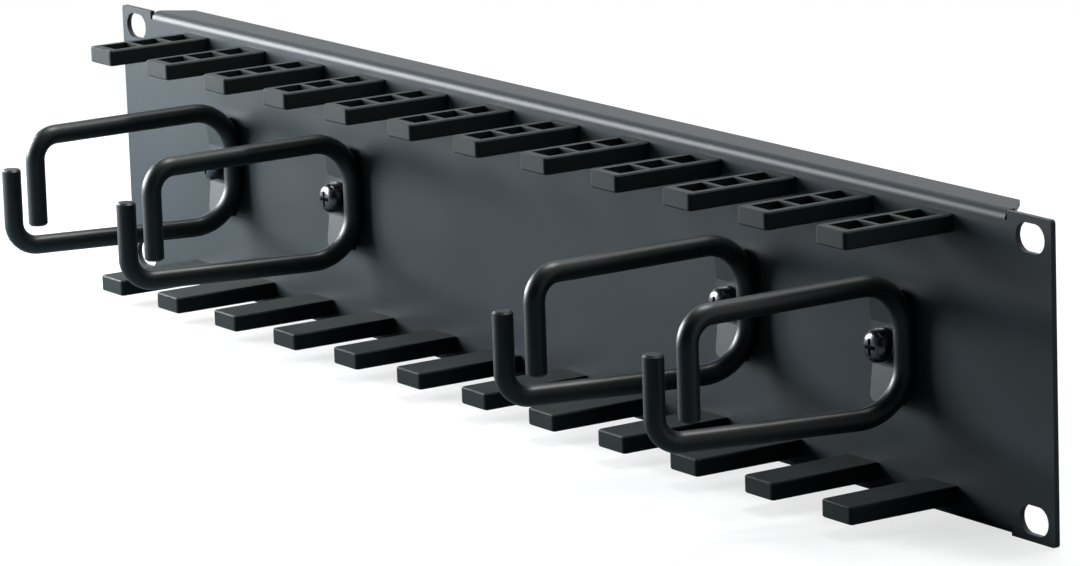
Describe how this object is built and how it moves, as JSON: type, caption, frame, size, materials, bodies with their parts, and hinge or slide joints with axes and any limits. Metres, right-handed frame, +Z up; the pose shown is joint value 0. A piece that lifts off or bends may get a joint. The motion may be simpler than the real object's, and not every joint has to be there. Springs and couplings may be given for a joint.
{
  "type": "horizontal cable manager",
  "caption": "Flat two-unit rack panel with a row of short fingers along each long edge and open D-rings standing out between them.",
  "frame": {"origin": "middle of the panel's rear face, which seats on the rack's two front rails", "axes": "+X to the right seen from the front, +Y back into the rack, +Z up"},
  "size_m": [0.4826, 0.089, 0.0882],
  "materials": {
    "powder_coat": "satin black powder coat",
    "rod_coat": "semi-gloss black powder coat",
    "finger_plastic": "moulded black plastic, lightly satin",
    "screw_steel": "black nickel-plated steel",
    "zinc": "bright zinc-plated steel"
  },
  "bodies": {
    "root": {"panel": "powder_coat", "finger_top_01": "finger_plastic", "finger_top_02": "finger_plastic", "finger_top_03": "finger_plastic", "finger_top_04": "finger_plastic", "finger_top_05": "finger_plastic", "finger_top_06": "finger_plastic", "finger_top_07": "finger_plastic", "finger_top_08": "finger_plastic", "finger_top_09": "finger_plastic", "finger_top_10": "finger_plastic", "finger_top_11": "finger_plastic", "finger_top_12": "finger_plastic", "finger_bottom_01": "finger_plastic", "finger_bottom_02": "finger_plastic", "finger_bottom_03": "finger_plastic", "finger_bottom_04": "finger_plastic", "finger_bottom_05": "finger_plastic", "finger_bottom_06": "finger_plastic", "finger_bottom_07": "finger_plastic", "finger_bottom_08": "finger_plastic", "finger_bottom_09": "finger_plastic", "finger_bottom_10": "finger_plastic", "finger_bottom_11": "finger_plastic", "finger_bottom_12": "finger_plastic", "ring_rod_1": "rod_coat", "ring_tab_1": "rod_coat", "ring_screw_1": "screw_steel", "ring_nut_1": "zinc", "ring_rod_2": "rod_coat", "ring_tab_2": "rod_coat", "ring_screw_2": "screw_steel", "ring_nut_2": "zinc", "ring_rod_3": "rod_coat", "ring_tab_3": "rod_coat", "ring_screw_3": "screw_steel", "ring_nut_3": "zinc", "ring_rod_4": "rod_coat", "ring_tab_4": "rod_coat", "ring_screw_4": "screw_steel", "ring_nut_4": "zinc"}
  },
  "joints": []
}
